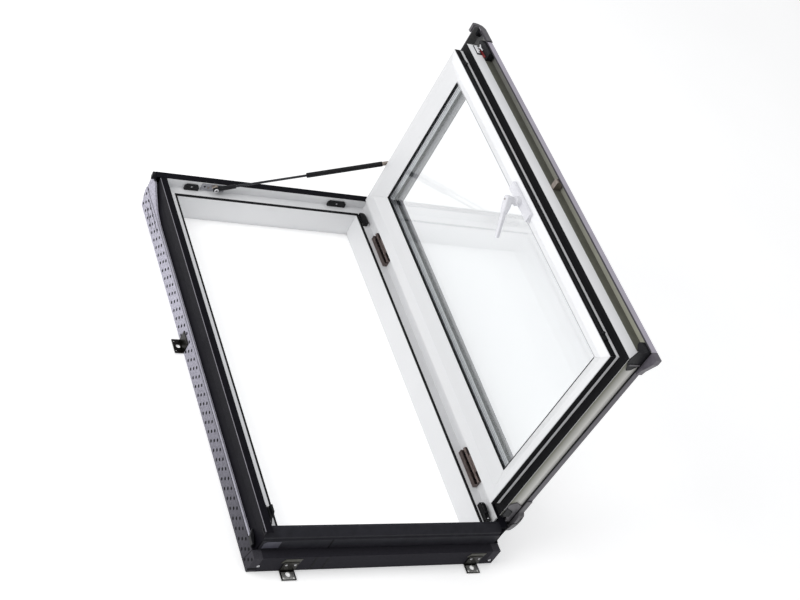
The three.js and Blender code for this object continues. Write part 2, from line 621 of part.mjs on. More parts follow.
const openEnd = new THREE.Vector2(AXIS.x + STRUT_SASH.z - AXIS.z, AXIS.z - STRUT_SASH.x + AXIS.x);
const strutFoot = new THREE.Vector2(STRUT_FRAME.x, STRUT_FRAME.z);
const strutRun = openEnd.clone().sub(strutFoot);
const STRUT_OPEN = strutRun.length();
const STRUT_CLOSED = new THREE.Vector2(STRUT_SASH.x, STRUT_SASH.z).distanceTo(strutFoot);
const STROKE = STRUT_OPEN - STRUT_CLOSED;
const strut = new THREE.Group();
strut.position.set(STRUT_FRAME.x, STRUT_Y, STRUT_FRAME.z);
strut.rotation.y = -strutRun.angle();

// Turned parts run along +X from the ball on the frame
function turned(profile, segments = 24) {
  const points = profile.map(([along, radius]) => new THREE.Vector2(radius, along));
  const geometry = new THREE.LatheGeometry(points, segments);
  geometry.rotateZ(-Math.PI / 2);
  return faceOutward(geometry);
}
const rodEnd = SOCKET_LENGTH + 2 + STROKE + 16;
const tubeStart = SOCKET_LENGTH + 2 + STROKE;
const boreEnd = rodEnd + STROKE + 0.5;
const tubeEnd = boreEnd + 4;
const BORE_RADIUS = 6.3;
const rodStart = SOCKET_LENGTH + GAP;
const rodOutline = [[rodStart, 0], [rodStart, ROD_RADIUS], [rodEnd, ROD_RADIUS], [rodEnd, 0]];
add(strut, 'strut_rod', turned(rodOutline), STEEL);
add(strut, 'strut_tube', turned([
  [tubeStart, BORE_RADIUS], [tubeStart, CYLINDER_RADIUS], [tubeEnd, CYLINDER_RADIUS], [tubeEnd, 0],
  [boreEnd, 0], [boreEnd, BORE_RADIUS], [tubeStart, BORE_RADIUS],
]), SATIN_BLACK);
const ballBore = BALL_RADIUS + GAP;
const socket = turned([[-8, 0], [-8, 6], [12, 7], [SOCKET_LENGTH, 6], [SOCKET_LENGTH, 0]]);
const ballSeat = roundBar(ballBore, [0, -10, 0], [0, 10, 0], 20);
add(strut, 'strut_socket', cut(socket, ballSeat), BLACK_PLASTIC);
const endFitting = turned([
  [tubeEnd + GAP, 0], [tubeEnd + GAP, 6], [STRUT_OPEN - 6, 6], [STRUT_OPEN + 5.5, 5], [STRUT_OPEN + 7, 0],
]);
const stud = roundBar(3, [STRUT_OPEN, 0, 0], [STRUT_OPEN, strutPlateY[1] + GAP - STRUT_Y, 0], 16);
add(strut, 'strut_end_fitting', join(endFitting, stud), ZINC);

const bracketPlate = box([-216, -144], [headWall - 2, headWall], [101, 124]);
const ballCentre = [STRUT_FRAME.x, STRUT_Y, STRUT_FRAME.z];
const ballNeck = roundBar(2.2, ballCentre, [STRUT_FRAME.x, headWall - 1, STRUT_FRAME.z], 14);
const ball = new THREE.SphereGeometry(BALL_RADIUS, 20, 12).translate(...ballCentre);
add(model, 'strut_bracket', join(bracketPlate, ballNeck, ball), ZINC);

// ---- Stand the sash open at a right angle about its hinges ----

const closed = new THREE.Group();
closed.position.set(-AXIS.x, 0, -AXIS.z);
closed.add(sash);
const leaf = new THREE.Group();
leaf.position.set(AXIS.x, 0, AXIS.z);
leaf.rotation.y = Math.PI / 2;
leaf.add(closed);
model.add(leaf);
model.add(strut);

export default model;
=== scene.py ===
import json
import math

import bmesh
import bpy
from mathutils import Matrix, Vector


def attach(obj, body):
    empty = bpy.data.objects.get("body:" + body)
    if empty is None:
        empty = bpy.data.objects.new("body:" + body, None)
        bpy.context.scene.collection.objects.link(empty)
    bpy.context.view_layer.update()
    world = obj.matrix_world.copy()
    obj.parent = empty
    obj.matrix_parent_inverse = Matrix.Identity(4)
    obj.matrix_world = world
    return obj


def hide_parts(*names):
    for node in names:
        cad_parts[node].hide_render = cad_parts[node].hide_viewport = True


# Outlines, places of pieces and the positions that materials compare with are in millimetres. The camera, the
# lights, the floor, and the sizes of noise and relief in materials are in metres.
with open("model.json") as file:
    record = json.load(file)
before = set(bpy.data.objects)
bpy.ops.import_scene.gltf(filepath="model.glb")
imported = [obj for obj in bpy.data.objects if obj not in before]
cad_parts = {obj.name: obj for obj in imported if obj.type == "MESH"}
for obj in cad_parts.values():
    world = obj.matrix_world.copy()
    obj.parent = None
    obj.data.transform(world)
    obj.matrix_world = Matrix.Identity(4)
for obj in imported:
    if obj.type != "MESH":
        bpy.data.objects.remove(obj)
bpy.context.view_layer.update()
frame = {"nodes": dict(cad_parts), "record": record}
nodes = frame["nodes"]
scene = bpy.context.scene
MM = 0.001


# ---------------------------------------------------------------- camera
CAMERA_PLACE = Vector((-1.8778, -1.7219, 2.6874))
CAMERA_RIGHT = Vector((0.8497, -0.3054, 0.4297))
CAMERA_UP = Vector((-0.0656, 0.7476, 0.6609))
SENSOR_WIDTH = 36.0  # millimetres, as is LENS
LENS = 65.32
FAR_CLIP = 100.0


def add_camera():
    """Puts the camera at its place, turned to its right and up directions."""
    data = bpy.data.cameras.new("camera")
    data.sensor_width = SENSOR_WIDTH
    data.lens = LENS
    data.clip_end = FAR_CLIP
    camera = bpy.data.objects.new("camera", data)
    right = CAMERA_RIGHT.normalized()
    back = right.cross(CAMERA_UP).normalized()
    turn = Matrix((right, back.cross(right), back)).transposed()
    camera.matrix_world = Matrix.Translation(CAMERA_PLACE) @ turn.to_4x4()
    scene.collection.objects.link(camera)
    scene.camera = camera


add_camera()


# ---------------------------------------------------------------- material helpers
NOISE_RANGE = (0.3, 0.7)  # most of a noise's values lie between these
FINE_RELIEF = 0.00003


class Maker:
    """Builds one node material step by step."""

    def __init__(self, name, base, roughness=0.5, metallic=0.0, specular=0.5):
        self.mat = bpy.data.materials.new(name)
        self.mat.use_nodes = True
        self.tree = self.mat.node_tree
        self.bsdf = self.tree.nodes["Principled BSDF"]
        self.bsdf.inputs["Base Color"].default_value = (*base, 1.0)
        self.bsdf.inputs["Roughness"].default_value = roughness
        self.bsdf.inputs["Metallic"].default_value = metallic
        self.bsdf.inputs["Specular IOR Level"].default_value = specular
        self.place = self.node("ShaderNodeTexCoord").outputs["Object"]
        self.height = None

    def node(self, kind, **settings):
        made = self.tree.nodes.new(kind)
        for key, value in settings.items():
            setattr(made, key, value)
        return made

    def link(self, source, target):
        self.tree.links.new(source, target)

    def feed(self, socket, value):
        """Links an output, or sets a number or colour."""
        if isinstance(value, (int, float)):
            socket.default_value = value
        elif isinstance(value, tuple):
            socket.default_value = (*value, 1.0)
        else:
            self.link(value, socket)

    def axis(self, name):
        """Position along X, Y or Z in millimetres."""
        split = self.node("ShaderNodeSeparateXYZ")
        self.link(self.place, split.inputs[0])
        return self.math("MULTIPLY", split.outputs[name], 1 / MM)

    def above(self, value, limit):
        """1 where the value is over the limit, and 0 elsewhere."""
        return self.math("GREATER_THAN", value, limit)

    def below(self, value, limit):
        """1 where the value is under the limit, and 0 elsewhere."""
        return self.math("LESS_THAN", value, limit)

    def both(self, a, b):
        """1 where both masks are 1."""
        return self.math("MULTIPLY", a, b)

    def noise(self, size, detail):
        """Noise whose features are about size metres across."""
        mapping = self.node("ShaderNodeMapping")
        mapping.inputs["Scale"].default_value = (1 / size,) * 3
        self.link(self.place, mapping.inputs["Vector"])
        made = self.node("ShaderNodeTexNoise")
        made.inputs["Scale"].default_value = 1.0
        made.inputs["Detail"].default_value = detail
        self.link(mapping.outputs["Vector"], made.inputs["Vector"])
        return made.outputs["Fac"]

    def math(self, operation, a, b=0.0):
        made = self.node("ShaderNodeMath", operation=operation)
        self.feed(made.inputs[0], a)
        self.feed(made.inputs[1], b)
        return made.outputs[0]

    def between(self, value, low, high, to_low=0.0, to_high=1.0):
        """to_low at low and to_high at high, straight in between."""
        made = self.node("ShaderNodeMapRange")
        made.inputs["From Min"].default_value = low
        made.inputs["From Max"].default_value = high
        made.inputs["To Min"].default_value = to_low
        made.inputs["To Max"].default_value = to_high
        self.link(value, made.inputs["Value"])
        return made.outputs["Result"]

    def mix(self, share, a, b, blend="MIX"):
        made = self.node("ShaderNodeMix", data_type="RGBA", blend_type=blend)
        self.feed(made.inputs["Factor"], share)
        self.feed(made.inputs["A"], a)
        self.feed(made.inputs["B"], b)
        return made.outputs["Result"]

    def clouds(self, low, high, size, detail):
        """Soft clouds between two tones."""
        return self.mix(self.between(self.noise(size, detail), *NOISE_RANGE), low, high)

    def color(self, value):
        self.feed(self.bsdf.inputs["Base Color"], value)

    def roughness(self, source, low, high):
        self.link(self.between(source, *NOISE_RANGE, low, high), self.bsdf.inputs["Roughness"])

    def bump(self, source, depth, strength=1.0):
        """Adds relief of the given depth in metres."""
        made = self.node("ShaderNodeBump")
        made.inputs["Strength"].default_value = strength
        made.inputs["Distance"].default_value = depth
        self.link(source, made.inputs["Height"])
        if self.height is not None:
            self.link(self.height, made.inputs["Normal"])
        self.height = made.outputs["Normal"]
        self.link(self.height, self.bsdf.inputs["Normal"])

    def grain(self, low, high, gloss_size, relief_size, relief_detail=3.0):
        """Uneven gloss between two roughness values, and a fine relief."""
        self.roughness(self.noise(gloss_size, 4.0), low, high)
        self.bump(self.noise(relief_size, relief_detail), FINE_RELIEF)


def shade(color, factor):
    return tuple(min(1.0, c * factor) for c in color)


# ---------------------------------------------------------------- plastic, paint and rubber
WHITE_LOW = (0.7, 0.705, 0.715)
WHITE_HIGH = (0.735, 0.738, 0.748)
BLACK_RUBBER = (0.005, 0.005, 0.006)
# The carrier's olive, painted darker as painted shade.
CARRIER_OLIVE = (0.105, 0.105, 0.086)
LOWER_EDGE = 12.0  # the sash's lower edge lies below this Y


def plain_finish(name, color, roughness, specular=0.5, spread=0.15):
    """A finish with soft colour clouds, uneven gloss and a fine grain."""
    made = Maker(name, color, roughness, 0.0, specular)
    made.color(made.clouds(shade(color, 1 - spread), shade(color, 1 + spread), 0.02, 4.0))
    made.grain(roughness - 0.07, roughness + 0.08, 0.003, 0.0006)
    return made.mat


def pvc_maker(name, low, high):
    """Satin white PVC. Returns the maker, and soft clouds between the two tones."""
    made = Maker(name, low, 0.34, 0.0, 0.4)
    made.grain(0.28, 0.4, 0.012, 0.0012, 4.0)
    return made, made.clouds(low, high, 0.22, 2.0)


def pvc_material(name, low, high):
    made, white = pvc_maker(name, low, high)
    made.color(white)
    return made.mat


def bottom_rail_material():
    """White PVC whose flange edge is painted shade: it goes from olive at the seal to cream at the lip."""
    made, white = pvc_maker("bottom_rail_pvc", WHITE_LOW, WHITE_HIGH)
    flange, seal, lip = 331.5, 336.0, 362.0
    edge = made.both(made.above(made.axis("X"), flange), made.below(made.axis("Y"), LOWER_EDGE))
    shade_fade = made.between(made.axis("X"), seal, lip)
    # painted shade on the flange edge
    made.color(made.mix(edge, white, made.mix(shade_fade, (0.14, 0.14, 0.105), (0.55, 0.545, 0.52))))
    return made.mat


def carrier_material():
    """Carrier strip in olive paint, painted darker as painted shade, and cream along the lower edge."""
    made = Maker("edge_carrier", CARRIER_OLIVE)
    olive = made.clouds(CARRIER_OLIVE, (0.13, 0.13, 0.108), 0.02, 4.0)
    made.color(made.mix(made.below(made.axis("Y"), LOWER_EDGE), olive, (0.5, 0.495, 0.47)))
    made.grain(0.42, 0.58, 0.003, 0.0006)
    return made.mat


def bead_gasket_material():
    """Black rubber lip of the glazing bead, pale along the free side."""
    made = Maker("bead_rubber", BLACK_RUBBER, 0.6, 0.0, 0.12)
    free_side = 684.5
    black = made.clouds((0.0043, 0.0043, 0.0051), (0.0058, 0.0058, 0.0069), 0.02, 4.0)
    made.color(made.mix(made.above(made.axis("Z"), free_side), black, (0.5, 0.5, 0.52)))
    made.grain(0.53, 0.68, 0.003, 0.0006)
    return made.mat


# ---------------------------------------------------------------- foam
# One dark foam in three tones. The pale tone is a painted reflection of the light, not the foam's colour. The
# side foam's dark end is lighter than the sill foam, and that difference is painted light too.
SHEEN_FOAM_TONE = (0.58, 0.565, 0.66)
DARK_FOAM = (0.05, 0.048, 0.057)
SILL_FOAM = (0.021, 0.02, 0.026)
# The holes are flat black discs with a shallow bump: the black is painted shade that stands in for the dark
# inside each hole.
HOLE_SHADE = (0.006, 0.006, 0.007)
FOAM_SHEEN_FADE = (-40.0, 760.0)  # Y where the dark and the pale tone are reached
FOAM_CELLS = 420.0  # cells in a metre
HOLE_COLUMNS = 16.0  # spacing along Z
HOLE_ROWS = 29.0  # spacing along Y
HOLE_START = 4.0  # Z where the lowest full column begins
HOLE_STAGGER = 0.37  # shift from one column to the next, as a share of the row spacing
HOLE_RADIUS_SQUARED = 20.0
HOLE_TOP = 55.0  # holes lie below this Z
HOLE_DEPTH = 0.001  # metres


def drainage_holes(made):
    """1 inside the rows of small drainage holes."""
    height = made.axis("Z")
    column = made.math("DIVIDE", made.math("SUBTRACT", height, HOLE_START), HOLE_COLUMNS)
    row = made.math("DIVIDE", made.axis("Y"), HOLE_ROWS)
    row = made.math("ADD", row, made.math("MULTIPLY", made.math("FLOOR", column), HOLE_STAGGER))
    squares = []
    for count, spacing in ((column, HOLE_COLUMNS), (row, HOLE_ROWS)):
        from_middle = made.math("SUBTRACT", made.math("FRACT", count), 0.5)
        squares.append(made.math("POWER", made.math("MULTIPLY", from_middle, spacing), 2.0))
    inside = made.below(made.math("ADD", *squares), HOLE_RADIUS_SQUARED)
    return made.both(inside, made.below(height, HOLE_TOP))


def foam_material(name, dark, pale, dotted=False):
    """Moulded foam with fine cells. Its colour goes from dark at the sill to a pale painted reflection at the
    head. Dotted foam has holes, painted black as painted shade.
    """
    made = Maker(name, dark, 0.88, 0.0, 0.15)
    cells = made.node("ShaderNodeTexVoronoi")
    cells.inputs["Scale"].default_value = FOAM_CELLS
    made.link(made.place, cells.inputs["Vector"])
    # painted reflection: dark at the sill, pale towards the head
    base = made.mix(made.between(made.axis("Y"), *FOAM_SHEEN_FADE), dark, pale)
    base = made.mix(made.math("MULTIPLY", cells.outputs["Distance"], 0.35), base, shade(dark, 0.6))
    speck = made.between(made.noise(0.005, 2.0), 0.42, 0.62)
    base = made.mix(made.math("MULTIPLY", speck, 0.3), base, shade(dark, 0.45))
    if dotted:
        hole = drainage_holes(made)
        # painted shade in the holes
        base = made.mix(hole, base, HOLE_SHADE)
        made.bump(made.math("SUBTRACT", 1.0, hole), HOLE_DEPTH)
    made.color(base)
    made.bump(cells.outputs["Distance"], 0.00025, 0.6)
    return made.mat


# ---------------------------------------------------------------- metal and glass
# The sash's bent aluminium sheet is painted in several tones per side. The free lip's lilac is painted light
# where the lip faces up to the light, and the bottom lip's darker tone is painted shade. The room-side strip
# is one back paint in three tones: olive on the free side, cream along the bottom and dark grey along the
# top. Its darker tones are painted shade, and on the free side it darkens up the slope as painted shade under
# the hood. The bottom free corner cap takes the bottom lip's tone.
SHEET = (0.17, 0.162, 0.185)
BOTTOM_LIP = (0.095, 0.087, 0.105)
LILAC_LIT_LIP = (0.4, 0.375, 0.44)
OLIVE_LOW = (0.4, 0.4, 0.325)
OLIVE_HOOD_SHADE = (0.165, 0.165, 0.155)
CREAM = (0.5, 0.5, 0.46)
TOP_INSIDE_SHADE = (0.1, 0.1, 0.1)
DARK_ZINC = (0.035, 0.033, 0.03)
OUTER_SKIN = 392.0  # the sheet's outer skin lies beyond this X
INSIDE_SHADE_FADE = (60.0, 1120.0)  # Y where the low and the high tone of the room side are reached


def sash_sheet_material(name, inside_low, inside_high, lip, axis, limits):
    """Bent aluminium sheet: satin outside, with a tone for the lip and tones for the room side, set per side.
    These tones are painted light and shade on one sheet, and the room side changes tone along Y as painted
    shade.

    limits are the ends of the room-side strip along the axis, the lip's first.
    """
    made = Maker(name, SHEET, 0.42, 0.0, 0.45)
    across = made.axis(axis)
    strip = made.both(made.above(across, min(limits)), made.below(across, max(limits)))
    strip = made.both(strip, made.below(made.axis("X"), OUTER_SKIN))
    past = made.above if limits[0] > limits[1] else made.below
    tint = made.mix(past(across, limits[0]), SHEET, lip)
    slope = made.between(made.axis("Y"), *INSIDE_SHADE_FADE)
    tint = made.mix(strip, tint, made.mix(slope, inside_low, inside_high))
    cloud = made.clouds((0.0, 0.0, 0.0), (0.5, 0.5, 0.5), 0.05, 3.0)
    made.color(made.mix(0.12, tint, cloud, "OVERLAY"))
    made.grain(0.36, 0.5, 0.004, 0.0007)
    return made.mat


def metal_maker(name, color, roughness):
    """Plated metal. Returns the maker, and soft clouds around its colour."""
    made = Maker(name, color, roughness, 1.0)
    made.grain(roughness - 0.08, roughness + 0.1, 0.0015, 0.0005)
    return made, made.clouds(shade(color, 0.72), shade(color, 1.12), 0.012, 4.0)


def metal_material(name, color, roughness):
    made, clouds = metal_maker(name, color, roughness)
    made.color(clouds)
    return made.mat


def bracket_material(name, middle):
    """Dark zinc angle whose flat tab is painted bright inside its dark edges, as a painted highlight."""
    made, dark = metal_maker(name, DARK_ZINC, 0.34)
    half_width, tab_start, tab_end = 17.0, -76.5, -97.0
    sideways = made.math("ABSOLUTE", made.math("SUBTRACT", made.axis("X"), middle))
    lengthwise = made.both(made.below(made.axis("Y"), tab_start), made.above(made.axis("Y"), tab_end))
    lit_tab = made.both(made.below(sideways, half_width), lengthwise)
    made.color(made.mix(lit_tab, dark, (0.62, 0.62, 0.6)))
    return made.mat


def spacer_material():
    """Bright spacer bar with fine dark stripes."""
    made = Maker("spacer_bar", (0.6, 0.61, 0.63), 0.3, 0.9)
    spacing, half_stripe = 5.3, 0.16  # half_stripe is a share of the spacing
    stripes = made.math("FRACT", made.math("DIVIDE", made.axis("X"), spacing))
    from_middle = made.math("ABSOLUTE", made.math("SUBTRACT", stripes, 0.5))
    made.color(made.mix(made.below(from_middle, half_stripe), (0.62, 0.63, 0.65), (0.16, 0.17, 0.18)))
    made.roughness(made.noise(0.002, 3.0), 0.24, 0.4)
    made.bump(made.noise(0.0008, 3.0), 0.00004)
    return made.mat


def glass_material():
    """Clear glass: nearly all light passes, with a faint mirror image on each face."""
    made = Maker("clear_glass", (0.93, 0.965, 0.955), 0.01, 1.0)
    made.bump(made.noise(0.35, 1.0), 0.00001, 0.2)
    clear = made.node("ShaderNodeBsdfTransparent")
    clear.inputs["Color"].default_value = (0.995, 0.997, 1.0, 1.0)
    blend = made.node("ShaderNodeMixShader")
    blend.inputs["Fac"].default_value = 0.075
    made.link(clear.outputs["BSDF"], blend.inputs[1])
    made.link(made.bsdf.outputs["BSDF"], blend.inputs[2])
    made.link(blend.outputs["Shader"], made.tree.nodes["Material Output"].inputs["Surface"])
    return made.mat


# ---------------------------------------------------------------- which node gets which material
MATERIALS = {
    "pvc": pvc_material("white_pvc", WHITE_LOW, WHITE_HIGH),
    "cladding": plain_finish("black_powder_coat", (0.0065, 0.0062, 0.0088), 0.45, 0.035),
    "sash_aluminium": plain_finish("satin_aluminium", SHEET, 0.42, 0.45, 0.03),
    "foam": foam_material("dark_foam_painted_sheen", DARK_FOAM, SHEEN_FOAM_TONE, True),
    "rubber": plain_finish("black_rubber", BLACK_RUBBER, 0.6, 0.12),
    "black_plastic": plain_finish("black_plastic", (0.009, 0.009, 0.011), 0.45, 0.2),
    "black_metal": plain_finish("black_metal", (0.006, 0.006, 0.007), 0.36, 0.2),
    "zinc": metal_material("warm_zinc", (0.4, 0.35, 0.31), 0.38),
    "steel": metal_material("bright_steel", (0.6, 0.6, 0.62), 0.26),
    "glass": glass_material(),
    "handle_white": plain_finish("white_enamel", (0.69, 0.69, 0.725), 0.28, 0.5, 0.03),
}
# A lighter copy of the white PVC for the free stile and the left jamb: painted light, not a different
# plastic.
LIT_PVC = pvc_material("pvc_painted_light", (0.79, 0.795, 0.81), (0.83, 0.835, 0.85))
HINGE_BROWN = metal_material("hinge_brown", (0.19, 0.15, 0.14), 0.42)
LEFT_BRACKET = -247.0  # X of the middle of each bracket on the sill
RIGHT_BRACKET = 287.0
SPECIAL = {
    # the sill foam has one dark tone and no painted reflection; the head foam is painted in the pale
    # reflection tone all over
    "insulation_sill": foam_material("sill_foam", SILL_FOAM, SILL_FOAM),
    "insulation_head": foam_material("head_foam_painted_sheen", SHEEN_FOAM_TONE, SHEEN_FOAM_TONE),
    "glass_spacer": spacer_material(),
    "strut_rod": metal_material("dark_rod", (0.05, 0.05, 0.055), 0.3),
    "strut_bracket": metal_material("bracket_zinc", (0.42, 0.42, 0.46), 0.36),
    # sash sheets: the lip and room-side tones are painted light and shade
    "sash_cladding_free": sash_sheet_material(
        "free_sheet", OLIVE_LOW, OLIVE_HOOD_SHADE, LILAC_LIT_LIP, "Z", (795.4, 710.5)),
    "sash_cladding_bottom": sash_sheet_material(
        "bottom_sheet", CREAM, CREAM, BOTTOM_LIP, "Y", (-14.0, 44.6)),
    "sash_cladding_top": sash_sheet_material(
        "top_sheet", TOP_INSIDE_SHADE, TOP_INSIDE_SHADE, SHEET, "Y", (1166.0, 1062.0)),
    "sash_rail_bottom": bottom_rail_material(),
    "sash_stile_free": LIT_PVC,
    "frame_left_jamb": LIT_PVC,
    "sash_carrier": carrier_material(),
    "bead_gasket": bead_gasket_material(),
    # The sill's cover is the black powder coat in a lighter copy: painted light.
    "cladding_sill": plain_finish("sill_powder_coat_painted_light", (0.021, 0.021, 0.026), 0.42, 0.1),
    "corner_cap_bottom_free": plain_finish("grey_nose", BOTTOM_LIP, 0.42),
    "fixing_bracket_left": metal_material("dark_zinc", DARK_ZINC, 0.34),
    "fixing_bracket_sill_left": bracket_material("zinc_tab_painted_light_left", LEFT_BRACKET),
    "fixing_bracket_sill_right": bracket_material("zinc_tab_painted_light_right", RIGHT_BRACKET),
    "hinge_frame_leaf_upper": HINGE_BROWN,
    "hinge_frame_leaf_lower": HINGE_BROWN,
    "hinge_sash_leaf_upper": HINGE_BROWN,
    "hinge_sash_leaf_lower": HINGE_BROWN,
}
SOFT_SLOTS = {"pvc": 0.8, "cladding": 0.45, "black_plastic": 0.7, "black_metal": 0.6, "foam": 0.8}
SLOT_OF = {part["node"]: part["material_slot"] for part in frame["record"]["subparts"]}


def paint(obj, material):
    obj.data.materials.clear()
    obj.data.materials.append(material)


def soften(obj, width):
    """Rounds the edges sharper than 35 degrees, over a width in millimetres."""
    made = obj.modifiers.new("soft_edges", "BEVEL")
    made.width = width * MM
    made.segments = 2
    made.limit_method = "ANGLE"
    made.angle_limit = math.radians(35)


for node_name, node_object in nodes.items():
    node_slot = SLOT_OF[node_name]
    paint(node_object, SPECIAL[node_name] if node_name in SPECIAL else MATERIALS[node_slot])
    if node_slot in SOFT_SLOTS:
        soften(node_object, SOFT_SLOTS[node_slot])


# ---------------------------------------------------------------- piece builders
HINGE_X = 319.5  # the sash hinge's axis runs along Y here
HINGE_Z = 119.5


def on_frame(x, y, z):
    """A point of the frame, in millimetres."""
    return Vector((x, y, z)) * MM


def on_sash(x, y, z):
    """A point of the open sash, given where it is with the sash closed."""
    return Vector((HINGE_X - HINGE_Z + z, y, HINGE_X + HINGE_Z - x)) * MM


def up_frame(u, v, w):
    """u across the frame and v outward, drawn out up the slope."""
    return on_frame(u, w, v)


def across_frame(u, v, w):
    """u up the slope and v outward, drawn out across the frame."""
    return on_frame(w, u, v)


def up_sash(u, v, w):
    """u across the sash and v outward, drawn out up the slope."""
    return on_sash(u, w, v)


def across_sash(u, v, w):
    """u up the slope and v outward, drawn out across the sash."""
    return on_sash(w, u, v)


def look_of(slot):
    """A look is a pair: a material and a slot. This one has the slot's usual material."""
    return MATERIALS[slot], slot


STEEL = look_of("steel")
ZINC = look_of("zinc")
SHADOW = look_of("rubber")
BLACK_METAL = look_of("black_metal")
BLACK_PLASTIC = look_of("black_plastic")
FOAM = look_of("foam")
WHITE_ENAMEL = look_of("handle_white")
PALE = (plain_finish("pale_nylon", (0.78, 0.78, 0.8), 0.35, 0.5, 0.04), "pvc")
RED = (plain_finish("red_pawl", (0.16, 0.012, 0.014), 0.4), "black_plastic")


def make_piece(name, mesh_data, look, body, edge=0.0):
    mesh = bpy.data.meshes.new(name)
    mesh_data.to_mesh(mesh)
    mesh_data.free()
    obj = bpy.data.objects.new(name, mesh)
    scene.collection.objects.link(obj)
    material, slot = look
    paint(obj, material)
    if edge:
        soften(obj, edge)
    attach(obj, body)
    return obj


def skin(bm, rings):
    """Faces between neighbouring rings of vertices, and one over each end."""
    count = len(rings[0])
    for a, b in zip(rings, rings[1:]):
        for k in range(count):
            bm.faces.new((a[k], a[(k + 1) % count], b[(k + 1) % count], b[k]))
    bm.faces.new(rings[0])
    bm.faces.new(reversed(rings[-1]))
    bmesh.ops.recalc_face_normals(bm, faces=bm.faces)


def prism(name, outline, depth, place, look, body, edge=0.4):
    """An outline of (u, v) points drawn out over w from depth[0] to depth[1]."""
    bm = bmesh.new()
    skin(bm, [[bm.verts.new(place(u, v, w)) for u, v in outline] for w in depth])
    return make_piece(name, bm, look, body, edge)


def turned(name, profile, origin, direction, look, body, segments):
    """A turned part: profile holds (distance along direction, radius) in millimetres."""
    least_radius = 0.01  # no ring shrinks to a point
    axis = direction.normalized()
    side = axis.orthogonal().normalized()
    up = axis.cross(side)
    bm = bmesh.new()
    rings = []
    for along, radius in profile:
        ring = []
        for k in range(segments):
            angle = 2 * math.pi * k / segments
            offset = (side * math.cos(angle) + up * math.sin(angle)) * max(radius, least_radius)
            ring.append(bm.verts.new(origin + (axis * along + offset) * MM))
        rings.append(ring)
    skin(bm, rings)
    return make_piece(name, bm, look, body)


def screw(name, origin, direction, radius, body, look=STEEL):
    """A pan-head screw with a sunk recess."""
    profile = [
        (0, radius), (0.7, radius), (1.3, radius * 0.8), (1.5, radius * 0.45),
        (0.6, radius * 0.35), (0.5, 0),
    ]
    turned(name, profile, origin, direction, look, body, 16)


# ---------------------------------------------------------------- locks, hinges and strut bracket
DOWN_SLOPE = Vector((0, -1, 0))
OUTWARD = Vector((0, 0, 1))
screw("striker_screw_left", on_frame(-247, 1127.2, 112), DOWN_SLOPE, 2.6, "frame")
screw("striker_screw_right", on_frame(225, 1127.2, 110), DOWN_SLOPE, 2.6, "frame")
for letter, x, z, look in (("a", -206, 114, SHADOW), ("b", -194, 111, ZINC), ("c", -152, 110, SHADOW)):
    screw(f"bracket_screw_{letter}", on_frame(x, 1132.2, z), DOWN_SLOPE, 3.0, "frame", look)
TAB = [(-186, 118), (-180, 118), (-170, 125), (-176, 127)]
prism("bracket_tab", TAB, (1124, 1132.1), up_frame, ZINC, "frame")
BALL_RING = [(-1.8, 5.4), (-0.9, 6.3), (0.9, 6.3), (1.8, 5.4), (1.8, 4.6), (-1.8, 4.6)]
turned("ball_ring", BALL_RING, on_frame(-174, 1117.4, 116), DOWN_SLOPE, PALE, "frame", 24)

for end, hinge_middle in (("upper", 948.0), ("lower", 157.0)):
    for index, offset in enumerate((-40.0, -14.0, 14.0, 40.0)):
        seat = on_frame(316.5, hinge_middle + offset, 112.0)
        screw(f"hinge_screw_{end}_{index}", seat, OUTWARD, 3.0, "frame", SHADOW)

KEEP_CAM = [(-9, 98.4), (34, 98.4), (38, 103), (38, 112), (30, 118), (4, 118), (-9, 108)]
prism("keep_cam_left", KEEP_CAM, (-316.6, -311.5), across_frame, BLACK_METAL, "frame", 0.8)
KEEP_LATCH = [(6, 100), (36, 100), (38, 108), (35, 126), (14, 126), (8, 118)]
prism("keep_latch_left", KEEP_LATCH, (-311.4, -305.8), across_frame, BLACK_METAL, "frame", 1.0)
KEEP_SADDLE = [(303.5, 8), (314.5, 8), (314.5, 36), (309, 42), (303.5, 36)]
prism("keep_cam_right", KEEP_SADDLE, (112.1, 117), on_frame, BLACK_METAL, "frame", 0.8)
screw("keep_screw_left_a", on_frame(-320.5, 34, 115), OUTWARD, 2.6, "frame")
screw("keep_screw_left_b", on_frame(-320.5, -6, 115), OUTWARD, 2.6, "frame")
screw("keep_screw_right_a", on_frame(309, 40, 112), OUTWARD, 2.4, "frame")
screw("keep_screw_right_b", on_frame(309, -6, 112), OUTWARD, 2.4, "frame")


# ---------------------------------------------------------------- sash details
LIP_BEAD = (plain_finish("lip_bead", (0.03, 0.026, 0.034), 0.5), "rubber")
GREY_END = (plain_finish("grey_end_cap", (0.085, 0.08, 0.088), 0.4), "black_plastic")
FREE_BEAD = [(-358.2, 173.6), (-355.0, 173.6), (-355.0, 176.4), (-358.2, 176.4)]
prism("free_lip_bead", FREE_BEAD, (-12.0, 1150.0), up_sash, LIP_BEAD, "sash", 0.5)
BOTTOM_BEAD = [(-15.7, 173.6), (-12.6, 173.6), (-12.6, 176.4), (-15.7, 176.4)]
prism("bottom_lip_bead", BOTTOM_BEAD, (-355.0, 355.0), across_sash, SHADOW, "sash", 0.5)


def on_free_face(u, v, w):
    """u up the slope and v outward on the free edge, drawn out away from the sash."""
    free_face = -357.6
    return on_sash(free_face - w, u, v)


